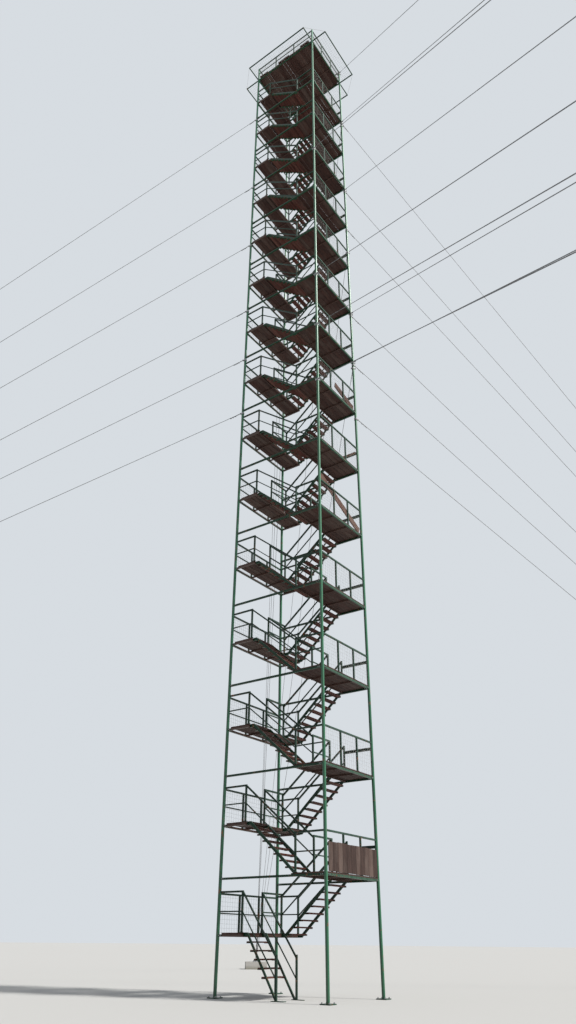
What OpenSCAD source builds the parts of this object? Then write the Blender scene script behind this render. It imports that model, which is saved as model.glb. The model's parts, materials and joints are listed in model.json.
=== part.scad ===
// Guyed steel lookout tower with a dog-leg stair, at half its real size.
// The origin is under the foot plate of the near leg. The left leg stands at -X of it,
// the right leg at +Y, and +Z is up.

/* [Plan] */
// Near leg to left leg, centre to centre
bay_x = 1795; // [1600:5:2200]
// Near leg to right leg, centre to centre
bay_y = 1365; // [1345:5:1700]
// Depth of a right landing, from the leg centres to its inner edge
landing_depth = 500; // [400:10:600]
// Depth of a left landing, from the leg centres to its inner edge
left_depth = 430; // [380:10:500]
// Gap between a left landing and the first tread of its flight
stair_gap = 70; // [40:5:90]
// Width of a stair flight over its stringers
flight_w = 430; // [400:10:500]

/* [Heights] */
// Top of the lowest left landing over the ground
first_landing = 760; // [700:10:800]
// Rise from a landing to the next one above it
landing_rise = 700; // [650:10:750]
// Risers between a landing and the next one above it
flight_risers = 8; // [7:1:9]
// Treads on the ground flight, over its high first step
ground_treads = 5; // [4:1:6]
// Tread spacing in plan on the ground flight
ground_going = 66; // [60:1:80]
// Rise from one tread to the next on the ground flight
ground_riser = 100; // [90:1:110]
// Storeys that have a landing on both sides
storeys = 14; // [6:1:14]
// Rise from the last landing to the top deck
top_rise = 1100; // [1040:10:1200]
// Risers from the last landing to the top deck
top_risers = 13; // [12:1:14]
// Deck left between the last flight and the right legs
top_strip = 500; // [420:10:560]
// Height of the guards over a deck
guard_h = 510; // [440:10:560]

/* [Legs] */
// Outer diameter of a leg tube
leg_d = 48; // [40:1:60]
// Wall of a leg tube
leg_wall = 4; // [2:0.5:6]
// Side of a square foot plate
foot_side = 150; // [130:5:200]
// Thickness of a foot plate
foot_t = 12; // [8:1:20]
// Spacing of the bolt holes in a foot plate
foot_bolt_pitch = 110; // [90:5:130]
// Diameter of the bolt holes in a foot plate
foot_bolt_d = 11; // [8:0.5:14]

/* [Steelwork] */
// Side of a square beam
beam = 28; // [24:1:40]
// Side of a guard post or top rail
rail = 24; // [18:1:28]
// Side of a middle rail
mid_rail = 16; // [10:1:20]
// Side of the single bar across the back of a right landing
back_bar = 40; // [30:1:50]
// Plumb depth of a stringer
stringer_h = 50; // [46:1:60]
// Thickness of a stringer
stringer_t = 18; // [14:1:20]

/* [Timber] */
// Thickness of the deck boards
board_t = 20; // [14:1:28]
// Side of a joist under a deck
joist = 22; // [16:1:28]
// Depth of a tread, front to back
tread_d = 96; // [84:1:110]
// Thickness of a tread
tread_t = 18; // [12:1:24]
// Gap between the last board and the outer beam of a left landing
edge_gap = 60; // [30:5:90]
// Height of the boards that close the guard of the lowest right landing
boards_h = 370; // [300:10:430]
// Width of the loose planks
plank_w = 130; // [90:5:150]

/* [Guys] */
// Diameter of a guy cable
guy_d = 9; // [6:0.5:12]
// Distance of the near and left anchors in front of the front face
front_reach = 9500; // [8000:100:12000]
// Distance of the right and back anchors behind the back face
rear_reach = 9200; // [8000:100:12000]
// Distance of the near and left anchors beyond the end faces
front_spread = 9800; // [8000:100:12000]
// Distance of the right and back anchors beyond the end faces
rear_spread = 7500; // [7000:100:10000]
// Arm of the net outriggers at the top deck
outrigger = 400; // [300:10:500]

/* [Hidden] */
$fn = 48;
fit = 0.3;
steel = "darkgreen";
timber = "sienna";
leg_r = leg_d / 2;
storey = 2 * landing_rise;
top_z = left_z(storeys) + top_rise;
leg_top = top_z + guard_h;
legs = [[0, 0], [-bay_x, 0], [0, bay_y], [-bay_x, bay_y]];
left_x = -bay_x + left_depth;
right_x = -landing_depth;
stair_x = left_x + stair_gap;
going = (right_x - stair_x) / flight_risers;
riser = landing_rise / flight_risers;
front_y = leg_r + 6;
back_y = bay_y - front_y - flight_w;
low_end = 5;
mid_end = 10;

function left_z(i) = first_landing + storey * i;
function right_z(i) = left_z(i) + storey / 2;

// A bar of square section along X, Y or Z, from its lowest corner
module bar_x(x0, x1, y, z, s) translate([x0, y - s / 2, z - s / 2]) cube([x1 - x0, s, s]);
module bar_y(y0, y1, x, z, s) translate([x - s / 2, y0, z - s / 2]) cube([s, y1 - y0, s]);
module post(x, y, z0, z1, s) translate([x - s / 2, y - s / 2, z0]) cube([s, s, z1 - z0]);

// A round rod from point a to point b
module rod(a, b, d) {
    v = b - a;
    translate(a)
        rotate([0, acos(v[2] / norm(v)), atan2(v[1], v[0])])
            cylinder(d = d, h = norm(v));
}

// Legs, caps and feet
module leg(i) {
    color(steel)
        translate([legs[i][0], legs[i][1], foot_t])
            difference() {
                cylinder(d = leg_d, h = leg_top - foot_t);
                translate([0, 0, -1]) cylinder(d = leg_d - 2 * leg_wall, h = leg_top - foot_t + 2);
            }
}

module leg_caps() {
    color(steel)
        for (p = legs)
            translate([p[0], p[1], leg_top]) cylinder(d = leg_d, h = leg_wall);
}

module foot_plates() {
    color(steel)
        for (p = legs)
            translate([p[0], p[1], 0])
                difference() {
                    translate([-foot_side / 2, -foot_side / 2, 0]) cube([foot_side, foot_side, foot_t]);
                    for (i = [-1, 1], j = [-1, 1])
                        translate([i * foot_bolt_pitch / 2, j * foot_bolt_pitch / 2, -1])
                            cylinder(d = foot_bolt_d, h = foot_t + 2);
                }
}

// Beams of the long faces, at the level of every right landing
beam_drop = board_t + beam / 2;

module face_beams(y) {
    color(steel)
        for (i = [0 : storeys - 1])
            bar_x(-bay_x + leg_r + fit, -leg_r - fit, y, right_z(i) - beam_drop, beam);
}

module right_landing_frames() {
    color(steel)
        for (i = [0 : storeys - 1])
            bar_y(leg_r + fit, bay_y - leg_r - fit, 0, right_z(i) - beam_drop, beam);
}

module left_landing_frames() {
    color(steel)
        for (i = [0 : storeys]) {
            z = left_z(i) - beam_drop;
            bar_y(leg_r + fit, bay_y - leg_r - fit, -bay_x, z, beam);
            for (y = [0, bay_y]) bar_x(-bay_x + leg_r + fit, left_x, y, z, beam);
        }
}

// Joists from the outer beam to the inner edge of a landing, and one along that edge
module landing_joists(outer_x, inner_x, z0) {
    z = z0 - board_t - joist / 2;
    dir = sign(inner_x - outer_x);
    face = outer_x + dir * beam / 2;
    bar_y(beam / 2, bay_y - beam / 2, inner_x - dir * joist / 2, z, joist);
    for (k = [1, 2]) bar_x(min(face, inner_x), max(face, inner_x), bay_y * k / 3, z, joist);
}

module deck_joists() {
    z = top_z - board_t - joist / 2;
    side = beam / 2;
    color(timber) {
        for (i = [0 : storeys - 1]) landing_joists(0, right_x, right_z(i));
        for (i = [0 : storeys]) landing_joists(-bay_x, left_x, left_z(i));
        for (y = [hatch_y0 / 2, hatch_y0 - joist / 2]) bar_x(-bay_x + side, -side, y, z, joist);
        bar_y(hatch_y0 + fit, bay_y - side, hatch_x1 + joist / 2, z, joist);
    }
}

// Decks, notched round the legs
module leg_notches(z0, z1) {
    for (p = legs)
        translate([p[0] - leg_r - fit, p[1] - leg_r - fit, z0])
            cube([leg_d + 2 * fit, leg_d + 2 * fit, z1 - z0]);
}

module deck(x0, x1, z) {
    difference() {
        translate([x0, -beam / 2, z - board_t]) cube([x1 - x0, bay_y + beam, board_t]);
        leg_notches(z - board_t - 1, z + 1);
    }
}

module right_landing_decks() {
    color(timber)
        for (i = [0 : storeys - 1]) deck(-landing_depth, beam / 2, right_z(i));
}

module left_landing_decks() {
    color(timber)
        for (i = [0 : storeys])
            deck(-bay_x + beam / 2 + edge_gap, left_x, left_z(i));
}

// Top deck, with stepped board ends along the front and a hatch over the last flight
hatch_x1 = -top_strip;
hatch_y0 = back_y - 10;

module top_frame() {
    z = top_z - beam_drop;
    color(steel) {
        for (y = [0, bay_y]) bar_x(-bay_x + leg_r + fit, -leg_r - fit, y, z, beam);
        for (x = [0, -bay_x]) bar_y(leg_r + fit, bay_y - leg_r - fit, x, z, beam);
    }
}

module top_deck() {
    out = beam / 2;
    steps = [62, 24, 56, 12, 38];
    strip = (bay_x + beam) / len(steps);
    color(timber)
        difference() {
            union() {
                translate([-bay_x - out, -out, top_z - board_t])
                    cube([bay_x + beam, bay_y + beam, board_t]);
                for (i = [0 : len(steps) - 1])
                    translate([out - strip * (i + 1), -out - steps[i], top_z - board_t])
                        cube([strip, steps[i] + 1, board_t]);
            }
            translate([left_x, hatch_y0, top_z - board_t - 1])
                cube([hatch_x1 - left_x, bay_y - hatch_y0 - beam / 2, board_t + 2]);
            leg_notches(top_z - board_t - 1, top_z + 1);
        }
}

// Stairs. A flight is [x and z of its lowest nosing, going with its sign, riser, number of treads],
// and its nosing line ends level with the landing above.
nose_lift = 3;
cleat_t = 6;
cleat_w = 14;
cleat_inset = 12;
stair_foot_t = 8;
ground_x = stair_x + ground_going * first_landing / ground_riser;
ground_flight = [stair_x + ground_going * ground_treads, first_landing - ground_riser * ground_treads,
    -ground_going, ground_riser, ground_treads];
top_flight = [stair_x, left_z(storeys), (hatch_x1 - stair_x) / top_risers, top_rise / top_risers,
    top_risers];
function front_flight(i) = [right_x, right_z(i), -going, riser, flight_risers];
function back_flight(i) = [stair_x, left_z(i), going, riser, flight_risers];
function flight_end(f) = [f[0] + f[2] * f[4], f[1] + f[3] * f[4]];

// Outline of a stringer's end at a landing, with a level piece that reaches a left landing
function stringer_end(x, z) = let(z1 = z + nose_lift, z0 = z1 - stringer_h)
    x < stair_x + fit ? [[x, z0], [left_x, z0], [left_x, z1], [x, z1]] : [[x, z0], [x, z1]];
function turned(points) = [for (k = [1 : len(points)]) points[len(points) - k]];

// Both stringers of a flight, each with a cleat under every tread
module stringers(f, y, low) {
    inner_y = y + flight_w - stringer_t;
    high = turned(stringer_end(flight_end(f)[0], flight_end(f)[1]));
    for (y0 = [y, inner_y])
        translate([0, y0 + stringer_t, 0])
            rotate([90, 0, 0])
                linear_extrude(stringer_t) polygon(concat(low, high));
    for (k = [0 : f[4] - 1]) {
        nose = f[0] + f[2] * k;
        back = nose + sign(f[2]) * (tread_d - cleat_inset);
        z = f[1] + f[3] * k - tread_t - cleat_t;
        for (y0 = [y, inner_y - cleat_w])
            translate([min(nose, back), y0, z]) cube([abs(back - nose), stringer_t + cleat_w, cleat_t]);
    }
}

module flight_stringers(f, y) stringers(f, y, stringer_end(f[0], f[1]));

// The ground flight's stringers run on down and are cut level on their feet
module ground_stringers() {
    slope = ground_riser / ground_going;
    x0 = ground_x - (stair_foot_t - nose_lift) / slope;
    stringers(ground_flight, front_y, [[x0 - stringer_h / slope, stair_foot_t], [x0, stair_foot_t]]);
}

module treads(f, y) {
    for (k = [0 : f[4] - 1]) {
        nose = f[0] + f[2] * k;
        back = nose + sign(f[2]) * tread_d;
        translate([min(nose, back), y + stringer_t, f[1] + f[3] * k - tread_t])
            cube([tread_d, flight_w - 2 * stringer_t, tread_t]);
    }
}

module front_stringers() {
    color(steel) {
        ground_stringers();
        for (i = [0 : storeys - 1]) flight_stringers(front_flight(i), front_y);
    }
}

module back_stringers() {
    color(steel) {
        for (i = [0 : storeys - 1]) flight_stringers(back_flight(i), back_y);
        flight_stringers(top_flight, back_y);
    }
}

foot_strip_l = 190;
foot_strip_back = 60;
foot_margin = 9;

module stair_feet() {
    inner_y = front_y + flight_w - stringer_t;
    color(steel)
        for (y = [[-rail / 2, front_y + stringer_t], [inner_y, inner_y + stringer_t]])
            translate([ground_x - foot_strip_back, y[0] - foot_margin, 0])
                cube([foot_strip_l, y[1] - y[0] + 2 * foot_margin, stair_foot_t]);
}

module front_treads(i0, i1) {
    color(timber)
        for (i = [i0 : i1]) treads(front_flight(i), front_y);
}

module back_treads(i0, i1) {
    color(timber)
        for (i = [i0 : i1]) treads(back_flight(i), back_y);
}

module front_treads_low() {
    color(timber) treads(ground_flight, front_y);
    front_treads(0, low_end - 1);
}

module back_treads_high() {
    back_treads(mid_end, storeys - 1);
    color(timber) treads(top_flight, back_y);
}

// Guards
module end_guard(x, z, mid) {
    bar_y(leg_r + fit, bay_y - leg_r - fit, x, z + guard_h - rail / 2, rail);
    if (mid) bar_y(leg_r + fit, bay_y - leg_r - fit, x, z + guard_h / 2, mid_rail);
    for (k = [1, 2]) post(x, bay_y * k / 3, z, z + guard_h, rail);
}

module right_end_guards() {
    color(steel)
        for (i = [0 : storeys - 1]) end_guard(0, right_z(i), false);
}

module left_end_guards() {
    color(steel)
        for (i = [0 : storeys])
            translate([0, 0, -board_t]) end_guard(-bay_x, left_z(i), true);
}

// A landing guard runs from the leg at leg_x to a post on the landing's inner edge.
// Its bars are [height over the deck, side].
two_bars = [[guard_h - rail / 2, rail], [guard_h / 2, mid_rail]];
one_bar = [[guard_h * 0.8, back_bar]];

module landing_guard(leg_x, inner_x, y, post_y, z, bars) {
    dir = sign(inner_x - leg_x);
    a = leg_x + dir * (leg_r + fit);
    px = inner_x - dir * rail / 2;
    for (g = bars) {
        bar_x(min(a, inner_x), max(a, inner_x), y, z + g[0], g[1]);
        if (post_y < y) bar_y(post_y, y, px, z + g[0], min(g[1], rail));
    }
    post(px, post_y, z, z + guard_h, rail);
}

module landing_guards(y, post_y, right_bars) {
    color(steel) {
        for (i = [0 : storeys - 1]) landing_guard(0, right_x, y, post_y, right_z(i), right_bars);
        for (i = [0 : storeys]) landing_guard(-bay_x, left_x, y, post_y, left_z(i), two_bars);
    }
}

// Guards across the stair well, on the inner edge of every landing
front_well_y = front_y + flight_w - stringer_t / 2;
back_well_y = back_y + stringer_t / 2;

module well_guard(x, z) {
    for (y = [front_well_y, back_well_y]) post(x, y, z, z + guard_h, rail);
    bar_y(front_well_y, back_well_y, x, z + guard_h - rail / 2, rail);
    bar_y(front_well_y, back_well_y, x, z + guard_h / 2, mid_rail);
}

module well_guards() {
    color(steel) {
        for (i = [0 : storeys - 1]) well_guard(right_x + rail / 2, right_z(i));
        for (i = [0 : storeys]) well_guard(left_x - rail / 2, left_z(i));
    }
}

// Sloping rails over a nosing line from xa, za to xb, zb
module stair_rail(xa, za, xb, zb, y, s) {
    h = s * 0.6;
    translate([0, y + s / 2, 0])
        rotate([90, 0, 0])
            linear_extrude(s)
                polygon([[xa, za - h], [xa, za + h], [xb, zb + h], [xb, zb - h]]);
}

module stair_rails(xa, za, xb, zb, y) {
    h = guard_h - rail;
    stair_rail(xa, za + h, xb, zb + h, y, rail);
    stair_rail(xa, za + h / 2, xb, zb + h / 2, y, mid_rail);
}

module front_rails(y) {
    color(steel) {
        stair_rails(ground_x, 0, left_x, first_landing, y);
        post(ground_x + rail / 2, y, stair_foot_t, guard_h, rail);
        for (i = [0 : storeys - 1]) stair_rails(right_x, right_z(i), left_x, left_z(i + 1), y);
    }
}

module back_rails(y) {
    color(steel) {
        for (i = [0 : storeys - 1]) stair_rails(left_x, left_z(i), right_x, right_z(i), y);
        stair_rails(left_x, left_z(storeys), hatch_x1, top_z, y);
        post(hatch_x1 + rail / 2, y, top_z, top_z + guard_h, rail);
    }
}

back_rail_y = bay_y - beam / 2 - rail / 2 - 2;

module top_guard() {
    color(steel) {
        for (y = [0, bay_y]) {
            bar_x(-bay_x + leg_r + fit, -leg_r - fit, y, leg_top - rail / 2, rail);
            bar_x(-bay_x + leg_r + fit, -leg_r - fit, y, top_z + guard_h * 0.55, mid_rail);
            for (k = [1, 2]) post(-bay_x * k / 3, y, top_z, leg_top, rail);
        }
        for (x = [0, -bay_x]) end_guard(x, top_z, true);
        hatch_guard();
    }
}

// Guards along the hatch and across its low end
module hatch_guard() {
    x0 = left_x - rail / 2;
    y0 = hatch_y0 - rail / 2;
    y1 = bay_y - beam / 2 - rail;
    x_end = hatch_x1 - rail;
    for (g = two_bars) {
        bar_x(x0, x_end, y0, top_z + g[0], g[1]);
        bar_y(y0 + rail + fit, y1, x0, top_z + g[0], g[1]);
    }
    for (x = [x0, (x0 + x_end) / 2, x_end]) post(x, y0, top_z, top_z + guard_h, rail);
    for (y = [y0 + rail + fit, y1]) post(x0, y, top_z, top_z + guard_h, rail);
}

// Net outriggers, one frame on each side of the top deck
module outrigger_bars(p, q, out) {
    z = top_z - beam_drop;
    s = rail;
    along = (q - p) / norm(q - p);
    for (c = [p + out * (leg_r + fit), q + out * (leg_r + fit)])
        translate([c[0], c[1], z])
            rotate([0, 0, atan2(out[1], out[0])])
                translate([0, -s / 2, -s / 2]) cube([outrigger, s, s]);
    e = p + out * (leg_r + fit + outrigger - s / 2);
    translate([e[0], e[1], z])
        rotate([0, 0, atan2(along[1], along[0])])
            translate([-s / 2, -s / 2, -s / 2]) cube([norm(q - p) + s, s, s]);
}

module net_outriggers() {
    color(steel) {
        outrigger_bars(legs[0], legs[1], [0, -1]);
        outrigger_bars(legs[0], legs[2], [1, 0]);
        outrigger_bars(legs[1], legs[3], [-1, 0]);
        outrigger_bars(legs[2], legs[3], [0, 1]);
    }
}

// Boards on the lowest right landing and the loose planks left on two landings
guard_board_t = 12;
guard_board_gap = 20;

module boarded_guard() {
    color(timber)
        translate([rail / 2, leg_r + guard_board_gap, right_z(0)])
            cube([guard_board_t, bay_y - leg_d - 2 * guard_board_gap, boards_h]);
}

plank_t = 16;
long_plank = 1360;
plank_end_gap = 80;
long_plank_tilt = 24;
short_plank_tilt = 14;

module plank(z, y, length, tilt) {
    translate([-rail / 2 - plank_t, y, z])
        rotate([tilt, 0, 180])
            translate([-plank_t, 0, 0]) cube([plank_t, length, plank_w]);
}

module leaning_planks() {
    color(timber) {
        plank(right_z(4), bay_y - plank_end_gap, long_plank, long_plank_tilt);
        plank(right_z(6), bay_y - plank_end_gap, long_plank / 2, short_plank_tilt);
    }
}

// Guys: every cable is [leg, height, place on the anchor]
collar_h = 36;
collar_gap = 75;
collar_drop = beam_drop + collar_gap;
guy_levels = [for (k = [1, 3, 4, 6, 7, 8]) right_z(storeys - k) - collar_drop];
anchor_near = [front_spread, -front_reach];
anchor_left = [-bay_x - front_spread, -front_reach];
anchor_right = [rear_spread, bay_y + rear_reach];
anchor_back = [-bay_x - rear_spread, bay_y + rear_reach];
near_guys = concat([[2, top_z + guard_h * 0.78], [2, guy_levels[0]]],
    [for (k = [1, 3, 4], leg = [0, 2]) [leg, guy_levels[k]]], [[0, guy_levels[5]]]);
left_level_extra = left_z(storeys - 4) - collar_drop;
left_guys = concat([for (k = [0, 1]) [1, guy_levels[k]]], [[1, left_level_extra]],
    [for (k = [3, 4, 5]) [1, guy_levels[k]]]);
right_guys = [for (z = guy_levels) [2, z - 2 * collar_h]];
back_guys = [for (k = [0, 2, 4], leg = [2, 3]) [leg, left_guys[k][1] - 4 * collar_h]];
collar_t = 7;
socket_d = 16;
socket_l = 80;
screw_l = 300;
block_side = 600;
block_h = 180;
base_w = 180;
base_t = 12;
base_margin = 60;
fin_t = 10;
fin_edge = 30;
fin_top = 110;
eye_step = 29;
eye_z = block_h + 70;

lug_out = 14;
lug_w = 20;
lug_h = 28;

function unit(v) = v / norm(v);
function plan_dir(a, b) = unit([b[0] - a[0], b[1] - a[1], 0]);
function eye(anchor, j) = let(d = unit([-anchor[0] - bay_x / 2, -anchor[1] + bay_y / 2]))
    [anchor[0] - d[0] * eye_step * j, anchor[1] - d[1] * eye_step * j, eye_z + eye_step * j];
// Upper end of a guy, on the lug of its collar
function axis_of(g) = [legs[g[0]][0], legs[g[0]][1], g[1]];
function top_of(g, b) = axis_of(g) + plan_dir(axis_of(g), b) * (leg_r + collar_t + lug_out);

module cables(anchor, guys) {
    n = len(guys);
    color("silver")
        for (j = [0 : n - 1]) {
            b = eye(anchor, n - 1 - j);
            a = top_of(guys[j], b);
            u = unit(b - a);
            rod(a + u * socket_l, b - u * screw_l, guy_d);
        }
}

module collars(anchor, guys) {
    n = len(guys);
    for (j = [0 : n - 1]) {
        b = eye(anchor, n - 1 - j);
        c = axis_of(guys[j]);
        a = top_of(guys[j], b);
        d = plan_dir(c, b);
        difference() {
            union() {
                translate(c - [0, 0, collar_h / 2]) cylinder(r = leg_r + collar_t, h = collar_h);
                translate(c)
                    rotate([0, 0, atan2(d[1], d[0])])
                        translate([leg_r + 2, -lug_w / 2, -lug_h / 2])
                            cube([collar_t + 2 * lug_out - 2, lug_w, lug_h]);
                rod(a, a + unit(b - a) * socket_l, socket_d);
            }
            translate(c - [0, 0, collar_h]) cylinder(r = leg_r + fit, h = 2 * collar_h);
        }
    }
}

module guy_collars() {
    color("gray") {
        collars(anchor_near, near_guys);
        collars(anchor_left, left_guys);
        collars(anchor_right, right_guys);
        collars(anchor_back, back_guys);
    }
}

module anchor_plate(anchor, guys) {
    n = len(guys);
    turn = atan2(-anchor[1] + bay_y / 2, -anchor[0] - bay_x / 2);
    reach = eye_step * (n - 1);
    translate([anchor[0], anchor[1], block_h])
        rotate([0, 0, turn]) {
            translate([-reach - base_margin, -base_w / 2, 0])
                cube([reach + 3 * base_margin, base_w, base_t]);
            translate([0, fin_t / 2, 0])
                rotate([90, 0, 0])
                    linear_extrude(fin_t)
                        polygon([[-reach - fin_edge, 0], [2 * fin_edge, 0], [fin_edge, 2 * fin_edge],
                            [-reach + fin_edge, reach + fin_top], [-reach - fin_edge, reach + fin_top]]);
        }
    for (j = [0 : n - 1]) {
        b = eye(anchor, n - 1 - j);
        u = unit(top_of(guys[j], b) - b);
        rod(b, b + u * screw_l, socket_d);
    }
}

module anchor_plates() {
    color("gray") {
        anchor_plate(anchor_near, near_guys);
        anchor_plate(anchor_left, left_guys);
        anchor_plate(anchor_right, right_guys);
        anchor_plate(anchor_back, back_guys);
    }
}

module anchor_blocks() {
    color("lightgray")
        for (a = [anchor_near, anchor_left, anchor_right, anchor_back])
            translate([a[0], a[1], 0])
                rotate([0, 0, atan2(-a[1] + bay_y / 2, -a[0] - bay_x / 2)])
                    translate([-block_side * 0.75, -block_side / 2, 0])
                        cube([block_side * 1.2, block_side, block_h]);
}

leg(0);  // leg_near
leg(1);  // leg_left
leg(2);  // leg_right
leg(3);  // leg_back
leg_caps();
foot_plates();
face_beams(0);  // front_beams
face_beams(bay_y);  // back_beams
right_landing_frames();
left_landing_frames();
right_landing_decks();
left_landing_decks();
top_frame();
top_deck();
deck_joists();
front_stringers();
back_stringers();
stair_feet();
front_treads_low();
front_treads(low_end, mid_end - 1);  // front_treads_mid
front_treads(mid_end, storeys - 1);  // front_treads_high
back_treads(0, low_end - 1);  // back_treads_low
back_treads(low_end, mid_end - 1);  // back_treads_mid
back_treads_high();
right_end_guards();
left_end_guards();
landing_guards(0, 0, two_bars);  // front_landing_guards
landing_guards(bay_y, back_rail_y, one_bar);  // back_landing_guards
well_guards();
front_rails(0);  // front_stair_rails
back_rails(back_rail_y);  // back_stair_rails
front_rails(front_well_y);  // front_inner_rails
back_rails(back_well_y);  // back_inner_rails
top_guard();
net_outriggers();
boarded_guard();
leaning_planks();
guy_collars();
cables(anchor_near, near_guys);  // guys_near
cables(anchor_left, left_guys);  // guys_left
cables(anchor_right, right_guys);  // guys_right
cables(anchor_back, back_guys);  // guys_back
anchor_plates();
anchor_blocks();
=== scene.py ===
import json
import math
import random

import bmesh
import bpy
from mathutils import Matrix, Vector


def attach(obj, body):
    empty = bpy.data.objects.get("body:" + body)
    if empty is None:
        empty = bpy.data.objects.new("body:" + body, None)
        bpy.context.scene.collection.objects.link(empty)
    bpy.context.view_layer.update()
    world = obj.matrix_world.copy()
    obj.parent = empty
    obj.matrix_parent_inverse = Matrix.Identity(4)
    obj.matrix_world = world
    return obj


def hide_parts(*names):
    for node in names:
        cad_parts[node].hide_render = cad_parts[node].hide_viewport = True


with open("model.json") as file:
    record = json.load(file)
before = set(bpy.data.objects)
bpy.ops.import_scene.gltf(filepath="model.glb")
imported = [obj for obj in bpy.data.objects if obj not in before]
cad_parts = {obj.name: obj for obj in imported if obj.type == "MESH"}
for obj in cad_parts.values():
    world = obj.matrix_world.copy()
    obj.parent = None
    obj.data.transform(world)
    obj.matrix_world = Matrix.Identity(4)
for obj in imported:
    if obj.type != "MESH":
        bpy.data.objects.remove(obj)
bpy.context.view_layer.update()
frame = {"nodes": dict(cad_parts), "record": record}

nodes = frame["nodes"]
rng = random.Random(41)

# Sizes of the tower, in metres, as the CAD part has them
BAY_X, BAY_Y = 1.795, 1.365
LANDING, LEFT_DEPTH, STAIR_GAP = 0.5, 0.43, 0.07
FLIGHT_W = 0.43
FIRST, RISE, FLIGHT_RISERS = 0.76, 0.7, 8
GROUND_TREADS, GROUND_GOING, GROUND_RISER = 5, 0.066, 0.1
STOREYS, TOP_RISE, TOP_RISERS, TOP_STRIP = 14, 1.1, 13, 0.5
GUARD_H = 0.51
LEG_R, LEG_CLEAR = 0.024, 0.0243
FOOT_T, FOOT_BOLTS = 0.012, 0.110
FLIGHT_CLEAR, HATCH_MARGIN = 0.006, 0.010
BEAM, RAIL, STRINGER_T = 0.028, 0.024, 0.018
BOARD_T, TREAD_D, TREAD_T, EDGE_GAP = 0.02, 0.096, 0.018, 0.06
STEPS = (0.062, 0.024, 0.056, 0.012, 0.038)
BOARDS_H = 0.37
OUTRIGGER = 0.4

LEFT_X, RIGHT_X = -BAY_X + LEFT_DEPTH, -LANDING
STAIR_X = LEFT_X + STAIR_GAP
FRONT_Y = LEG_R + FLIGHT_CLEAR
BACK_Y = BAY_Y - FRONT_Y - FLIGHT_W
GOING = (RIGHT_X - STAIR_X) / FLIGHT_RISERS
STOREY = 2 * RISE
HATCH_X, HATCH_Y = -TOP_STRIP, BACK_Y - HATCH_MARGIN
LEGS = [(0, 0), (-BAY_X, 0), (0, BAY_Y), (-BAY_X, BAY_Y)]


def left_z(i):
    return FIRST + STOREY * i


def right_z(i):
    return left_z(i) + STOREY / 2


TOP_Z = left_z(STOREYS) + TOP_RISE
LEG_TOP = TOP_Z + GUARD_H


# Materials
MOSS = (0.040, 0.052, 0.030)
GRIME = (0.12, 0.09, 0.065)
RUST_HALO, RUST_DARK, RUST_LIGHT = (0.16, 0.075, 0.032), (0.10, 0.032, 0.014), (0.26, 0.095, 0.035)
STAIN_DARK, STAIN_LIGHT = (0.055, 0.033, 0.027), (0.095, 0.058, 0.046)


class Value:
    """A shader socket that takes part in Python arithmetic."""

    def __init__(self, shade, socket):
        self.shade, self.socket = shade, socket

    def math(self, operation, *others, clamp=False):
        inputs = dict(enumerate((self,) + others))
        return self.shade.node("Math", 0, inputs, operation=operation, use_clamp=clamp)

    def __add__(self, other):
        return self.math("ADD", other)

    def __radd__(self, other):
        return self.math("ADD", other)

    def __sub__(self, other):
        return self.math("SUBTRACT", other)

    def __rsub__(self, other):
        return (self * -1).math("ADD", other)

    def __mul__(self, other):
        return self.math("MULTIPLY", other)

    def __rmul__(self, other):
        return self.math("MULTIPLY", other)


class Shade:
    """A material with one Principled surface."""

    def __init__(self, name, metallic=0.0, specular=0.5):
        self.material = bpy.data.materials.new(name)
        self.material.use_nodes = True
        self.nodes = self.material.node_tree.nodes
        self.links = self.material.node_tree.links
        self.surface = self.nodes["Principled BSDF"]
        self.surface.inputs["Metallic"].default_value = metallic
        self.surface.inputs["Specular IOR Level"].default_value = specular
        self.place = self.node("TexCoord", "Object")

    def put(self, socket, value):
        if isinstance(value, Value):
            self.links.new(value.socket, socket)
        else:
            socket.default_value = value

    def node(self, kind, out, inputs=None, stops=None, **settings):
        made = self.nodes.new("ShaderNode" + kind)
        for key, value in settings.items():
            setattr(made, key, value)
        if stops:
            ramp = made.color_ramp
            while len(ramp.elements) < len(stops):
                ramp.elements.new(1.0)
            for element, (at, color) in zip(ramp.elements, stops):
                element.position, element.color = at, (*color, 1)
        for key, value in (inputs or {}).items():
            self.put(made.inputs[key], value)
        return Value(self, made.outputs[out])

    def noise(self, scale, stretch=(1, 1, 1), detail=4.0, rough=0.55, at=None):
        where = self.node("Mapping", 0, {"Vector": at or self.place, "Scale": stretch})
        return self.node("TexNoise", 0, {"Vector": where, "Scale": scale, "Detail": detail,
            "Roughness": rough})

    def step(self, value, low, high):
        return self.node("MapRange", 0, {"Value": value, "From Min": low, "From Max": high},
            clamp=True)

    def mix(self, share, a, b, how="MIX"):
        made = self.nodes.new("ShaderNodeMix")
        made.data_type, made.blend_type = "RGBA", how
        for socket, value in ((made.inputs[0], share), (made.inputs[6], a), (made.inputs[7], b)):
            if isinstance(value, tuple):
                value = (*value, 1)
            self.put(socket, value)
        return Value(self, made.outputs[2])

    def finish(self, color, rough, bump=None, depth=0.001, metallic=None):
        self.put(self.surface.inputs["Base Color"], color)
        self.put(self.surface.inputs["Roughness"], rough)
        if metallic:
            self.put(self.surface.inputs["Metallic"], metallic)
        if bump:
            normal = self.node("Bump", 0, {"Height": bump, "Distance": depth, "Strength": 0.6})
            self.put(self.surface.inputs["Normal"], normal)
        return self.material


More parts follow.
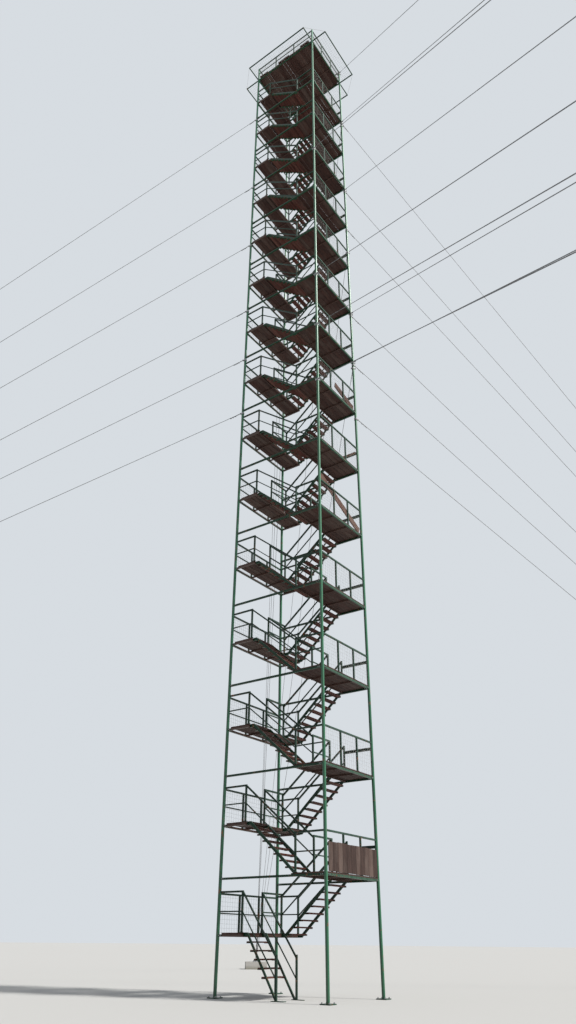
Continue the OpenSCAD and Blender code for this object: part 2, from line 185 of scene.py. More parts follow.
def painted_steel(name, deep, faded, wear, gloss, stained=None):
    """Outdoor green paint: bleached higher up, streaked, with rust chips; chalky and with a painted
    highlight on the +x side, and with painted shade on the -y side.

    Between the two x of stained it has the decks' brown stain instead.
    """
    s = Shade(name, specular=gloss)
    s.surface.inputs["Coat Weight"].default_value = gloss * 0.5
    s.surface.inputs["Coat Roughness"].default_value = 0.22
    height = s.node("SeparateXYZ", 2, {0: s.place}) * (1 / LEG_TOP)
    blotch = s.noise(3.0)
    fine = s.noise(55.0, detail=3.0)
    streak = s.noise(9.0, (3.0, 3.0, 0.16), 5.0, 0.65)
    bleach = s.step(height * 0.55 + blotch * 0.75 + streak * 0.25, 0.42, 1.15)
    color = s.mix(bleach, deep, faded)
    facing = s.node("TexCoord", "Normal")
    # +x faces turn pale, partly real chalking and partly a painted highlight, more so higher up
    sunny = s.step(s.node("SeparateXYZ", 0, {0: facing}), 0.1, 0.95)
    chalk_and_highlight = sunny * (height * 0.45 + streak * 0.9 - 0.25)
    color = s.mix(chalk_and_highlight, color, tuple(c * 2 + 0.10 for c in faded))
    # Faces towards -y are darkened here as painted shade
    painted_shade = s.step(s.node("SeparateXYZ", 1, {0: facing}), -0.3, -0.95)
    color = s.mix(painted_shade * (blotch * 0.5 + 0.35), color, tuple(c * 0.5 for c in deep))
    color = s.mix(s.step(streak, 0.50, 0.74) * 0.55, color, MOSS)
    rust_place = s.noise(17.0, (1, 1, 0.6), 6.0, 0.68)
    chips = s.step(rust_place + fine * 0.22, 0.775 - wear, 0.815 - wear)
    halo = s.step(rust_place + fine * 0.15, 0.70 - wear, 0.80 - wear) * 0.5
    color = s.mix(halo, color, RUST_HALO)
    color = s.mix(chips, color, s.mix(fine, RUST_DARK, RUST_LIGHT))
    if stained:
        x = s.node("SeparateXYZ", 0, {0: s.place})
        low, high = stained
        between = s.step(x, low - 0.001, low) * s.step(x, high + 0.001, high)
        color = s.mix(between, color, s.mix(blotch, STAIN_DARK, STAIN_LIGHT))
    rough = 0.24 + blotch * 0.20 + fine * 0.08 + chips * 0.45
    return s.finish(color, rough, fine * 0.5 - chips * 0.7 + blotch * 0.2, 0.0012)


def galvanised(name, tone):
    """Dull zinc with a faint spangle."""
    s = Shade(name, metallic=0.75)
    spangle = s.node("TexVoronoi", 0, {"Vector": s.place, "Scale": 130.0})
    grime = s.noise(11.0, (1, 1, 0.4), 5.0, 0.6)
    color = s.mix(spangle * 0.5, tuple(c * 0.78 for c in tone), tone)
    color = s.mix(s.step(grime, 0.50, 0.78) * 0.7, color, GRIME)
    return s.finish(color, 0.42 + grime * 0.25 + spangle * 0.06, spangle + grime, 0.0006)


def strand_wire(name, lay):
    """Twisted steel strand: fine slanting wires on a dull cable."""
    s = Shade(name, metallic=0.65)
    x, y, z = (s.node("SeparateXYZ", i, {0: s.place}) for i in range(3))
    wires = ((x + y) * lay * 0.7 + z * lay).math("SINE") * 0.5 + 0.5
    grime = s.noise(4.0, detail=5.0)
    color = s.mix(wires, (0.070, 0.072, 0.075), (0.26, 0.265, 0.27))
    color = s.mix(s.step(grime, 0.48, 0.75) * 0.6, color, (0.11, 0.075, 0.050))
    return s.finish(color, 0.45 + grime * 0.2, wires, 0.0008)


def stained_wood(name, deep, warm, worn, grey, boards=True):
    """Stained boards, with grain along each board and its own shade."""
    s = Shade(name, specular=0.3)
    along = s.place
    if boards:
        along = s.node("Attribute", "Vector", attribute_name="grain")
    tone = s.node("Attribute", "Fac", attribute_name="tone")
    rings = s.noise(1.0, (3.0, 34.0, 26.0), 6.0, 0.6, along)
    fibre = s.noise(1.0, (22.0, 420.0, 300.0), 3.0, 0.6, along)
    blotch = s.noise(1.0, (2.2, 6.0, 6.0), 4.0, 0.6, along)
    color = s.mix(s.step(rings, 0.32, 0.70), deep, warm)
    color = s.mix(s.step(fibre, 0.50, 0.82) * 0.45, color, tuple(c * 0.45 for c in deep))
    color = s.mix(s.step(blotch + tone * 0.25, 0.56, 0.80) * worn, color, grey)
    color = s.mix(0.55, color, s.mix(tone, (0.42, 0.40, 0.40), (1.0, 0.97, 0.95)), "MULTIPLY")
    checks = s.step(s.noise(1.0, (4.0, 95.0, 60.0), 2.0, 0.5, along), 0.68, 0.74)
    color = s.mix(checks * 0.7, color, tuple(c * 0.25 for c in deep))
    rough = 0.58 + blotch * 0.22 + fibre * 0.08
    return s.finish(color, rough, fibre * 0.5 + rings * 0.4 - checks * 0.8, 0.0012)


def cast_concrete(name):
    s = Shade(name, specular=0.35)
    cloud = s.noise(2.6, detail=6.0)
    grit = s.noise(90.0, detail=3.0)
    damp = s.step(s.node("SeparateXYZ", 2, {0: s.place}) + cloud * 0.06, 0.02, 0.13)
    color = s.mix(cloud, (0.40, 0.385, 0.36), (0.60, 0.59, 0.56))
    color = s.mix(s.step(grit, 0.55, 0.70) * 0.4, color, (0.30, 0.29, 0.27))
    color = s.mix(1 - damp, color, (0.23, 0.22, 0.17))
    pores = s.step(s.node("TexVoronoi", 0, {"Vector": s.place, "Scale": 70.0}), 0.05, 0.16)
    return s.finish(color, 0.8 + grit * 0.15, grit * 0.4 + pores, 0.0015)


def net_cord(name):
    s = Shade(name, specular=0.3)
    fade = s.noise(5.0)
    color = s.mix(fade, (0.30, 0.30, 0.29), (0.50, 0.50, 0.48))
    return s.finish(color, 0.7 + fade * 0.2, s.noise(900.0), 0.0004)


leg_paint = painted_steel("leg paint", (0.003, 0.085, 0.030), (0.014, 0.185, 0.082), 0.03, 0.5)
FRAME_GREENS = (0.004, 0.036, 0.016), (0.014, 0.075, 0.038)
frame_paint = painted_steel("frame paint", *FRAME_GREENS, 0.045, 0.2)
left_paint = painted_steel("left frame paint", *FRAME_GREENS, 0.045, 0.2,
    (-BAY_X + BEAM / 2, LEFT_X))
rail_paint = painted_steel("rail paint", (0.003, 0.026, 0.013), (0.011, 0.054, 0.030), 0.04, 0.2)
zinc = galvanised("dull zinc", (0.44, 0.45, 0.46))
strand = strand_wire("steel strand", 520.0)
deck_wood = stained_wood("deck stain", (0.030, 0.013, 0.010), (0.085, 0.032, 0.022), 0.5,
    (0.11, 0.085, 0.072))
# The joists' stain is painted lighter than the decks', to offset the shade under the boards
joist_wood_lightened = stained_wood("joist stain lightened against shade", (0.055, 0.032, 0.026), (0.14, 0.070, 0.052), 0.4,
    (0.17, 0.135, 0.115), boards=False)
tread_wood = stained_wood("tread stain", (0.055, 0.017, 0.013), (0.175, 0.050, 0.034), 0.45,
    (0.17, 0.100, 0.080))
plank_wood = stained_wood("plank stain", (0.070, 0.028, 0.020), (0.19, 0.080, 0.055), 0.6,
    (0.24, 0.17, 0.14))
grey_wood = stained_wood("weathered boards", (0.046, 0.027, 0.022), (0.11, 0.064, 0.052), 0.7,
    (0.17, 0.125, 0.108))
pale_wood = stained_wood("pale board", (0.30, 0.18, 0.13), (0.52, 0.33, 0.24), 0.5,
    (0.60, 0.45, 0.37))
concrete = cast_concrete("cast concrete")
cord = net_cord("net cord")

FINISHES = {
    "legs": leg_paint, "frame": frame_paint, "rails": rail_paint, "decks": deck_wood,
    "treads": tread_wood, "planks": plank_wood, "cable": strand, "fittings": zinc,
    "concrete": concrete,
}
for sub in frame["record"]["subparts"]:
    mesh = nodes[sub["node"]].data
    mesh.materials.clear()
    mesh.materials.append(FINISHES[sub["material_slot"]])
nodes["deck_joists"].data.materials[0] = joist_wood_lightened
nodes["left_landing_frames"].data.materials[0] = left_paint


# Making pieces
def piece(name, bm, finish, slot, *replaced):
    """An object of the scene from a finished bmesh; replaced names the CAD nodes it stands for."""
    mesh = bpy.data.meshes.new(name)
    bm.to_mesh(mesh)
    bm.free()
    made = bpy.data.objects.new(name, mesh)
    bpy.context.scene.collection.objects.link(made)
    mesh.materials.append(finish)
    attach(made, "root")
    if replaced:
        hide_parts(*replaced)
    return made


def new_boards():
    """A bmesh whose vertices carry the grain's place and each board's shade."""
    bm = bmesh.new()
    bm.verts.layers.float_vector.new("grain")
    bm.verts.layers.float.new("tone")
    return bm


def board(bm, low, high, along, turn=None, soft=0.0022):
    """A board with eased edges between two corners; along is its grain's axis."""
    low, high = Vector(low), Vector(high)
    size = high - low
    made = bmesh.ops.create_cube(bm, size=1, matrix=Matrix.Diagonal((*size, 1)))
    edges = list({e for v in made["verts"] for e in v.link_edges})
    verts = bmesh.ops.bevel(bm, geom=edges, offset=soft, offset_type="OFFSET", segments=1,
        profile=0.5, affect="EDGES", material=-1)["verts"]
    grain, tone = bm.verts.layers.float_vector["grain"], bm.verts.layers.float["tone"]
    start = Vector(rng.uniform(0, 40) for _ in range(3))
    shade = rng.random()
    order = [along] + [i for i in (2, 1, 0) if i != along]
    if size[order[1]] < size[order[2]]:
        order[1], order[2] = order[2], order[1]
    for v in verts:
        v[grain] = start + Vector(v.co[i] for i in order)
        v[tone] = shade
    place = Matrix.Translation((low + high) / 2)
    bmesh.ops.transform(bm, matrix=(turn or Matrix()) @ place, verts=verts)
    return verts


class Shape:
    """One small shape made by an operator, then stamped into pieces as often as they need it."""

    def __init__(self, operator, **settings):
        bm = bmesh.new()
        operator(bm, **settings)
        self.mesh = bpy.data.meshes.new("shape")
        bm.to_mesh(self.mesh)
        bm.free()
        self.places = [v.co.copy() for v in self.mesh.vertices]

    def stamp(self, bm, matrix):
        self.mesh.transform(matrix)
        bm.from_mesh(self.mesh)
        for vert, place in zip(self.mesh.vertices, self.places):
            vert.co = place


def tube(sides, caps):
    return Shape(bmesh.ops.create_cone, cap_ends=caps, segments=sides, radius1=1, radius2=1, depth=1)


CUBE = Shape(bmesh.ops.create_cube, size=1)
TUBES = {(sides, caps): tube(sides, caps) for sides, caps in
    ((3, False), (6, True), (8, True), (12, True))}


def rod(bm, a, b, radius, sides=6, caps=True):
    a, b = Vector(a), Vector(b)
    turn = (b - a).to_track_quat("Z", "Y").to_matrix().to_4x4()
    size = Matrix.Diagonal((radius, radius, (b - a).length, 1))
    TUBES[sides, caps].stamp(bm, Matrix.Translation((a + b) / 2) @ turn @ size)


# Decks and treads
GAP = 0.003
OPEN_GAPS = (0, 0, 0.001, 0.003, 0.0005, 0.004)
UNEVEN = 0.006
RIGHT_BOARDS, LEFT_BOARDS = 5, 4
NOSING_LAP = 0.004
TOP_BOARD_W, TOP_UNEVEN = 0.092, 0.004


def strips(low, high, count):
    """The edges of count boards laid side by side from low to high."""
    width = (high - low - GAP * (count - 1)) / count
    return [(low + i * (width + GAP), low + i * (width + GAP) + width) for i in range(count)]


def loose_strips(low, high, count):
    """Strips that have shrunk unevenly, so that light comes through some of the gaps."""
    return [(a, b - rng.choice(OPEN_GAPS)) for a, b in strips(low, high, count)]


def landing_boards(bm, x0, x1, count, z, y0, y1):
    for a, b in loose_strips(x0, x1, count):
        y_low, y_high = y0 + rng.uniform(0, UNEVEN), y1 - rng.uniform(0, UNEVEN)
        board(bm, (a, y_low, z - BOARD_T), (b, y_high, z), 1)


out = BEAM / 2
bm = new_boards()
for i in range(STOREYS):
    z = right_z(i)
    landing_boards(bm, RIGHT_X, -LEG_CLEAR - GAP, RIGHT_BOARDS, z, -out, BAY_Y + out)
    landing_boards(bm, -LEG_CLEAR, out, 1, z, LEG_CLEAR, BAY_Y - LEG_CLEAR)
piece("right_landing_boards", bm, deck_wood, "decks", "right_landing_decks")

bm = new_boards()
left_edge = -BAY_X + out + EDGE_GAP
for i in range(STOREYS + 1):
    landing_boards(bm, left_edge, LEFT_X, LEFT_BOARDS, left_z(i), -out, BAY_Y + out)
piece("left_landing_boards", bm, deck_wood, "decks", "left_landing_decks")

# A narrow board closes each left landing up to the last tread of the front flight
bm = new_boards()
sides = FRONT_Y + STRINGER_T, FRONT_Y + FLIGHT_W - STRINGER_T
for i in range(1, STOREYS + 1):
    z = left_z(i)
    board(bm, (LEFT_X + GAP, sides[0], z - BOARD_T), (STAIR_X + NOSING_LAP, sides[1], z), 1)
piece("nosing_boards", bm, deck_wood, "decks")


def tread_boards(bm, x, z, going, riser, count, y):
    y0, y1 = y + STRINGER_T, y + FLIGHT_W - STRINGER_T
    way = math.copysign(1, going)
    for k in range(count):
        nose, top = x + going * k, z + riser * k
        for a, b in strips(0, TREAD_D, 2):
            xs = sorted((nose + way * a, nose + way * b))
            board(bm, (xs[0], y0, top - TREAD_T), (xs[1], y1, top), 1)


CLIMB = (RISE / FLIGHT_RISERS, FLIGHT_RISERS)
FRONT = [(RIGHT_X, right_z(i), -GOING, *CLIMB) for i in range(STOREYS)]
BACK = [(STAIR_X, left_z(i), GOING, *CLIMB) for i in range(STOREYS)]
GROUND = (STAIR_X + GROUND_GOING * GROUND_TREADS, FIRST - GROUND_RISER * GROUND_TREADS,
    -GROUND_GOING, GROUND_RISER, GROUND_TREADS)
LAST = (STAIR_X, left_z(STOREYS), (HATCH_X - STAIR_X) / TOP_RISERS, TOP_RISE / TOP_RISERS,
    TOP_RISERS)
for side, y, groups in (
    ("front", FRONT_Y, ([GROUND] + FRONT[:5], FRONT[5:10], FRONT[10:])),
    ("back", BACK_Y, (BACK[:5], BACK[5:10], BACK[10:] + [LAST])),
):
    for level, flights in zip(("low", "mid", "high"), groups):
        bm = new_boards()
        for flight in flights:
            tread_boards(bm, *flight, y)
        name = f"{side}_treads_{level}"
        piece(name + "_boards", bm, tread_wood, "treads", name)

# The top deck: its boards end unevenly along the front and stop at the hatch
bm = new_boards()
strip_w = (BAY_X + BEAM) / len(STEPS)
for group, step in enumerate(STEPS):
    x1 = out - strip_w * group
    x0 = x1 - strip_w
    edges = [x0] + [x for x in (LEFT_X, HATCH_X) if x0 < x < x1] + [x1]
    for low, high in zip(edges, edges[1:]):
        count = max(1, round((high - low) / TOP_BOARD_W))
        for a, b in loose_strips(low, high - GAP, count):
            front = -out - step + rng.uniform(0, TOP_UNEVEN)
            back = HATCH_Y if LEFT_X < (a + b) / 2 < HATCH_X else BAY_Y + out
            if min(abs(x - leg) for x in (a, b) for leg in (0, -BAY_X)) < LEG_CLEAR:
                front, back = LEG_CLEAR, BAY_Y - LEG_CLEAR
            board(bm, (a, front, TOP_Z - BOARD_T), (b, back, TOP_Z), 1)
board(bm, (LEFT_X, BAY_Y - out + GAP, TOP_Z - BOARD_T), (HATCH_X, BAY_Y + out, TOP_Z), 0)
piece("top_deck_boards", bm, deck_wood, "decks", "top_deck")

# Boards on the lowest right landing's guard
GUARD_BOARDS, GUARD_BOARD_T, GUARD_BOARD_GAP, GUARD_UNEVEN = 11, 0.012, 0.02, 0.010
bm = new_boards()
z0 = right_z(0)
end = LEG_R + GUARD_BOARD_GAP
for a, b in strips(end, BAY_Y - end, GUARD_BOARDS):
    top = BOARDS_H - rng.uniform(0, GUARD_UNEVEN)
    foot = rng.uniform(0, UNEVEN)
    board(bm, (RAIL / 2, a, z0 + foot), (RAIL / 2 + GUARD_BOARD_T, b, z0 + top), 2)
piece("guard_boards", bm, grey_wood, "planks", "boarded_guard")

# Loose planks leaning on the guards of two landings
PLANK_W, PLANK_T, PLANK_L, PLANK_END_GAP = 0.130, 0.016, 1.36, 0.08
LONG_TILT, SHORT_TILT = math.radians(24), math.radians(14)
bm = new_boards()
for z, length, tilt in ((right_z(4), PLANK_L, LONG_TILT), (right_z(6), PLANK_L / 2, SHORT_TILT)):
    turn = Matrix.Rotation(math.pi, 4, "Z") @ Matrix.Rotation(tilt, 4, "X")
    place = Matrix.Translation((-RAIL / 2 - PLANK_T, BAY_Y - PLANK_END_GAP, z))
    board(bm, (-PLANK_T, 0, 0), (0, length, PLANK_W), 1, place @ turn)
piece("loose_planks", bm, plank_wood, "planks", "leaning_planks")

# A weathered board tied to the back bar of one landing
TIED_X0, TIED_X1, TIED_BACK, TIED_T = -0.34, -0.03, 0.0205, 0.0155
TIED_H, TIED_BELOW, TIED_ABOVE = GUARD_H * 0.8, 0.018, 0.024
bm = new_boards()
y = BAY_Y - TIED_BACK
z = right_z(5) + TIED_H
board(bm, (TIED_X0, y - TIED_T, z - TIED_BELOW), (TIED_X1, y, z + TIED_ABOVE), 0)
piece("tied_board", bm, pale_wood, "planks")


# Nets
NET_PITCH, NET_R, NET_BULGE, NET_DROOP = 0.055, 0.0011, 0.010, 0.004
NET_BELOW_RAIL, NET_OFF_DECK = 0.02, 0.01
TOP_PITCH, TOP_R = 0.05, 0.0012
OUTRIGGER_NET_R, OUTRIGGER_DROOP, OUTRIGGER_GAP, WIRE_R = 0.0014, 0.05, 0.004, 0.0025
KNOT_PLAY = 0.06


def net(bm, corner, across, up, pitch, radius, sag=(0, 0, 0)):
    """Square netting over the parallelogram from corner along across and up, slack by sag."""
    corner, across, up, sag = (Vector(v) for v in (corner, across, up, sag))
    columns, rows = (max(2, round(way.length / pitch)) for way in (across, up))

    def knot(i, j):
        slack = math.sin(math.pi * i / columns) * math.sin(math.pi * j / rows)
        shift = Vector(rng.uniform(-KNOT_PLAY, KNOT_PLAY) * pitch for _ in range(3))
        return corner + across * (i / columns) + up * (j / rows) + (sag + shift) * slack

    knots = [[knot(i, j) for j in range(rows + 1)] for i in range(columns + 1)]
    for i in range(columns + 1):
        for j in range(rows + 1):
            if i < columns:
                rod(bm, knots[i][j], knots[i + 1][j], radius, 3, caps=False)
            if j < rows:
                rod(bm, knots[i][j], knots[i][j + 1], radius, 3, caps=False)


bm = bmesh.new()
across = (0, BAY_Y - 2 * LEG_CLEAR, 0)
up = (0, 0, GUARD_H - NET_BELOW_RAIL)
for i in range(1, STOREYS):
    corner = (0, LEG_CLEAR, right_z(i) + NET_OFF_DECK)
    net(bm, corner, across, up, NET_PITCH, NET_R, (NET_BULGE, 0, -NET_DROOP))
for i in range(STOREYS + 1):
    corner = (-BAY_X, LEG_CLEAR, left_z(i))
    net(bm, corner, across, up, NET_PITCH, NET_R, (-NET_BULGE, 0, -NET_DROOP))
piece("guard_nets", bm, cord, "rails")

bm = bmesh.new()
up = (0, 0, GUARD_H - RAIL)
for x in (0, -BAY_X):
    net(bm, (x, LEG_CLEAR, TOP_Z), across, up, TOP_PITCH, TOP_R)
along = (BAY_X - 2 * LEG_CLEAR, 0, 0)
for y in (0, BAY_Y):
    net(bm, (-BAY_X + LEG_CLEAR, y, TOP_Z), along, up, TOP_PITCH, TOP_R)
reach = LEG_R + OUTRIGGER - RAIL
arm_z = TOP_Z - BOARD_T - BEAM / 2
edge = out + OUTRIGGER_GAP
for corner, side, over in (
    ((-BAY_X, -edge, arm_z), (BAY_X, 0, 0), (0, edge - reach, 0)),
    ((-BAY_X, BAY_Y + edge, arm_z), (BAY_X, 0, 0), (0, reach - edge, 0)),
    ((edge, 0, arm_z), (0, BAY_Y, 0), (reach - edge, 0, 0)),
    ((-BAY_X - edge, 0, arm_z), (0, BAY_Y, 0), (edge - reach, 0, 0)),
):
    net(bm, corner, side, over, NET_PITCH, OUTRIGGER_NET_R, (0, 0, -OUTRIGGER_DROOP))
piece("top_nets", bm, cord, "rails")

bm = bmesh.new()
tip = LEG_R + OUTRIGGER
for x, y in LEGS:
    sx, sy = (1 if x == 0 else -1), (-1 if y == 0 else 1)
    rod(bm, (x + sx * tip, y, arm_z), (x, y + sy * tip, arm_z), WIRE_R)
piece("corner_wires", bm, cord, "rails")


# Bolts: tops and radii of washer, nut and stud are shares of the nut's size
WASHER_TOP, NUT_TOP, STUD_TOP = 0.12, 0.62, 0.85
WASHER_R, NUT_R, STUD_R = 0.68, 0.5, 0.27
FOOT_NUT, BEAM_NUT, POST_NUT = 0.020, 0.011, 0.009
EAR_NUT, LUG_NUT, EYE_NUT, BASE_NUT = 0.013, 0.014, 0.022, 0.026


def bolt(bm, seat, axis, size):
    """A hexagon nut on a washer, with the stud's end; size is across its corners."""
    seat, axis = Vector(seat), Vector(axis).normalized() * size
    rod(bm, seat, seat + axis * WASHER_TOP, size * WASHER_R, 12)
    rod(bm, seat + axis * WASHER_TOP, seat + axis * NUT_TOP, size * NUT_R, 6)
    rod(bm, seat + axis * NUT_TOP, seat + axis * STUD_TOP, size * STUD_R, 8)


def plate(bm, middle, size, turn=0):
    """A flat bar about its middle, turned about the upright by an angle."""
    place = Matrix.Translation(middle) @ Matrix.Rotation(turn, 4, "Z")
    CUBE.stamp(bm, place @ Matrix.Diagonal((*size, 1)))


bm = bmesh.new()
half = FOOT_BOLTS / 2
for x, y in LEGS:
    for i in (-half, half):
        for j in (-half, half):
            bolt(bm, (x + i, y + j, FOOT_T), (0, 0, 1), FOOT_NUT)
piece("foot_nuts", bm, zinc, "fittings")

# Plates and bolts where the beams meet the legs
bm = bmesh.new()
bolts = bmesh.new()
PLATE_L, PLATE_H, PLATE_T = 0.070, 0.024, 0.004
PLATE_START, PLATE_BOLTS = LEG_R * 0.4, (0.014, 0.042)


def joint(x, y, z, along, way):
    """Two plates and two bolts at the end of a beam that leaves a leg along x or y."""
    for side in (-1, 1):
        off = side * (BEAM + PLATE_T) / 2
        mid = way * (PLATE_L / 2 + PLATE_START)
        ends = [way * (LEG_R + place) for place in PLATE_BOLTS]
        if along == "x":
            plate(bm, (x + mid, y + off, z), (PLATE_L, PLATE_T, PLATE_H))
            seats = [(x + e, y + off + side * PLATE_T / 2, z) for e in ends]
            axis = (0, side, 0)
        else:
            plate(bm, (x + off, y + mid, z), (PLATE_T, PLATE_L, PLATE_H))
            seats = [(x + off + side * PLATE_T / 2, y + e, z) for e in ends]
            axis = (side, 0, 0)
        for seat in seats:
            bolt(bolts, seat, axis, BEAM_NUT)


drop = BOARD_T + BEAM / 2
floors = [(0, right_z(i) - drop) for i in range(STOREYS)] + [(0, TOP_Z - drop)]
left_floors = [(-BAY_X, left_z(i) - drop) for i in range(STOREYS + 1)] + [(-BAY_X, TOP_Z - drop)]
for x, z in floors + left_floors:
    joint(x, 0, z, "y", 1)
    joint(x, BAY_Y, z, "y", -1)
for x, z in left_floors[:-1]:
    joint(x, 0, z, "x", 1)
    joint(x, BAY_Y, z, "x", 1)
for x, z in floors:
    for y in (0, BAY_Y):
        joint(0, y, z, "x", -1)
        joint(-BAY_X, y, z, "x", 1)
piece("beam_plates", bm, frame_paint, "frame")
piece("beam_bolts", bolts, zinc, "fittings")

# Round bolt heads in the treads
HEAD_SHARES, HEAD_INSET, HEAD_H, HEAD_R = (0.25, 0.75), 0.008, 0.0018, 0.005
bm = bmesh.new()
for flights, y in ((FRONT + [GROUND], FRONT_Y), (BACK + [LAST], BACK_Y)):
    for x, z, going, riser, count in flights:
        for k in range(count):
            for share in HEAD_SHARES:
                bolt_x = x + going * k + math.copysign(TREAD_D * share, going)
                for inset in (STRINGER_T + HEAD_INSET, FLIGHT_W - STRINGER_T - HEAD_INSET):
                    head = Vector((bolt_x, y + inset, z + riser * k))
                    rod(bm, head, head + Vector((0, 0, HEAD_H)), HEAD_R, 8)
piece("tread_bolts", bm, zinc, "fittings")

# Foot plates and bolts under the guard posts
POST_PLATE_L, POST_PLATE_W, POST_PLATE_T, POST_BOLT = 0.066, RAIL + 0.006, 0.004, 0.024
bm = bmesh.new()
bolts = bmesh.new()


def post_foot(x, y, z, along):
    """A foot plate with a bolt at each end, laid along x or y."""
    turn = 0 if along == "x" else math.pi / 2
    middle = Vector((x, y, z + POST_PLATE_T / 2))
    plate(bm, middle, (POST_PLATE_L, POST_PLATE_W, POST_PLATE_T), turn)
    top = Vector((x, y, z + POST_PLATE_T))
    for way in (-POST_BOLT, POST_BOLT):
        shift = Vector((way, 0, 0)) if along == "x" else Vector((0, way, 0))
        bolt(bolts, top + shift, (0, 0, 1), POST_NUT)


well_ys = (FRONT_Y + FLIGHT_W - STRINGER_T / 2, BACK_Y + STRINGER_T / 2)
for i in range(STOREYS + 1):
    landings = [(LEFT_X - RAIL / 2, left_z(i))]
    if i < STOREYS:
        landings.append((RIGHT_X + RAIL / 2, right_z(i)))
        for k in (1, 2):
            post_foot(0, BAY_Y * k / 3, right_z(i), "y")
    for x, z in landings:
        for y in well_ys + (0,):
            post_foot(x, y, z, "y" if y else "x")
    for k in (1, 2):
        post_foot(-BAY_X, BAY_Y * k / 3, left_z(i) - BOARD_T, "y")
for k in (1, 2):
    for y in (0, BAY_Y):
        post_foot(-BAY_X * k / 3, y, TOP_Z, "x")
    for x in (0, -BAY_X):
        post_foot(x, BAY_Y * k / 3, TOP_Z, "y")
piece("post_feet", bm, rail_paint, "rails")
piece("post_bolts", bolts, zinc, "fittings")

# Guys: collar ears, lug pins, wire clips, turnbuckles and anchor bolts
COLLAR_H, COLLAR_T, LUG_OUT, LUG_W = 0.036, 0.007, 0.014, 0.020
COLLAR_GAP, TOP_COLLAR = 0.075, GUARD_H * 0.78
COLLAR_DROP = drop + COLLAR_GAP
SOCKET_L, SCREW_L, GUY_D = 0.08, 0.3, 0.009
CLIPS, CLIP_PITCH, CLIP_FIRST, CLIP_T, CLIP_OUT = 3, 0.055, 0.03, 0.012, 0.01
SADDLE_R, CLIP_SPREAD, CLIP_BOLT_R, CLIP_NUT_R = GUY_D * 1.15, GUY_D * 0.9, 0.0022, 0.0045
CLIP_BOLT, CLIP_NUT = (-GUY_D, GUY_D * 2.1), (GUY_D * 1.4, GUY_D * 1.8)
SCREW_BARS, SCREW_BAR_OUT, SCREW_BAR_R = (0.09, 0.24), 0.013, 0.0045
SCREW_ENDS, SCREW_END_R = ((0.08, 0.10), (0.23, 0.25)), 0.018
LOCKNUTS, LOCKNUT_R = ((0.068, 0.08), (0.25, 0.262)), 0.0135
EAR_L, EAR_T, EAR_H, EAR_OUT, EAR_BOLT = 0.020, 0.014, COLLAR_H * 0.9, 0.008, 0.002
BLOCK_H, BASE_W, BASE_T, BASE_MARGIN, BASE_BOLT = 0.18, 0.18, 0.012, 0.06, 0.025
FIN_T, EYE_STEP, EYE_H = 0.01, 0.029, 0.07
EYE_Z = BLOCK_H + EYE_H
FRONT_REACH, REAR_REACH, FRONT_SPREAD, REAR_SPREAD = 9.5, 9.2, 9.8, 7.5
LEVELS = [right_z(STOREYS - k) - COLLAR_DROP for k in (1, 3, 4, 6, 7, 8)]
left_guys = [(1, z) for z in (LEVELS[:2] + [left_z(STOREYS - 4) - COLLAR_DROP] + LEVELS[3:])]
GUYS = [
    ((FRONT_SPREAD, -FRONT_REACH), [(2, TOP_Z + TOP_COLLAR), (2, LEVELS[0])]
        + [(leg, LEVELS[k]) for k in (1, 3, 4) for leg in (0, 2)] + [(0, LEVELS[5])]),
    ((-BAY_X - FRONT_SPREAD, -FRONT_REACH), left_guys),
    ((REAR_SPREAD, BAY_Y + REAR_REACH), [(2, z - 2 * COLLAR_H) for z in LEVELS]),
    ((-BAY_X - REAR_SPREAD, BAY_Y + REAR_REACH),
        [(leg, left_guys[k][1] - 4 * COLLAR_H) for k in (0, 2, 4) for leg in (2, 3)]),
]


def clips(bm, tail, start, u, side, count):
    """The cable's turned-back tail at start, held to it by wire clips."""
    length = CLIP_PITCH * count
    rod(tail, start + side * GUY_D, start + u * length + side * GUY_D, GUY_D / 2, 8)
    across = u.cross(side)
    for k in range(count):
        middle = start + u * (CLIP_FIRST + CLIP_PITCH * k) + side * GUY_D / 2
        rod(bm, middle - u * CLIP_T / 2, middle + u * CLIP_T / 2, SADDLE_R, 8)
        for way in (-1, 1):
            foot = middle + across * way * CLIP_SPREAD
            for (low, high), radius in ((CLIP_BOLT, CLIP_BOLT_R), (CLIP_NUT, CLIP_NUT_R)):
                rod(bm, foot + side * low, foot + side * high, radius)


